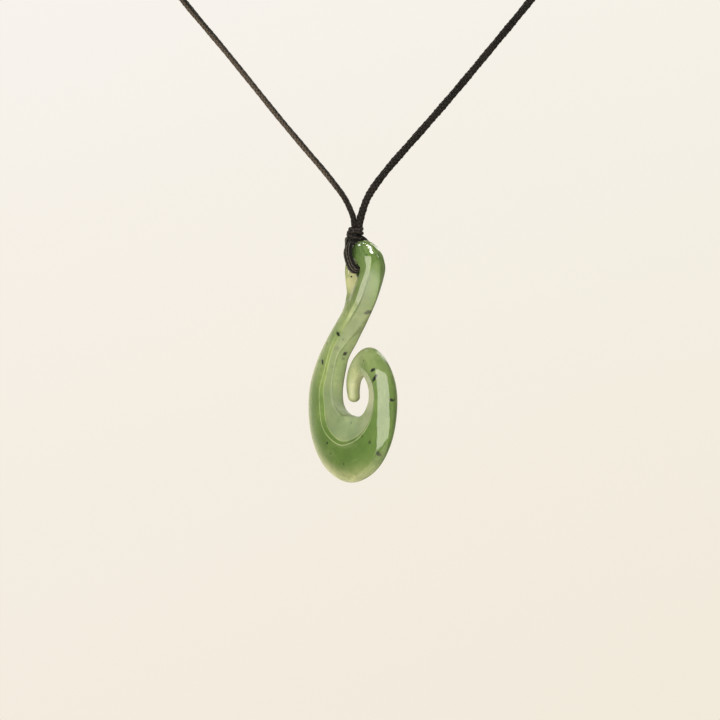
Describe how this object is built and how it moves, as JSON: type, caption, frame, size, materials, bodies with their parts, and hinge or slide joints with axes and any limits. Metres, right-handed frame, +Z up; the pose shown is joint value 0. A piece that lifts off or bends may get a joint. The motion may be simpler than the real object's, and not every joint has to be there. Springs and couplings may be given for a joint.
{
  "type": "fish-hook pendant on a neck cord",
  "caption": "Flat curved fish hook of polished translucent green stone with a curled point, hung by a doubled black waxed cord through the eye in its head, on a plain closed neck loop.",
  "frame": {"origin": "where the cord crosses the back of the neck, at the closing knot", "axes": "+Z up, -Y towards the wearer's front, +X to the right of a viewer who faces the wearer"},
  "size_m": [0.129, 0.122, 0.1483],
  "materials": {
    "green_stone": "polished, translucent green with dark flecks and pale thin edges",
    "waxed_cord": "black waxed braid with a dull sheen"
  },
  "bodies": {
    "cord": {"eye_loop": "waxed_cord", "pendant_knot": "waxed_cord", "left_cord": "waxed_cord", "right_cord": "waxed_cord", "nape_cord": "waxed_cord", "nape_knot": "waxed_cord"},
    "pendant": {"hook": "green_stone"}
  },
  "joints": [
    {"name": "pendant_swing", "type": "hinge", "parent": "cord", "child": "pendant", "pos_m": [0.00221, -0.11199, -0.098], "axis": [-0.766, -0.6428, 0], "range_deg": [-15, 15]}
  ]
}
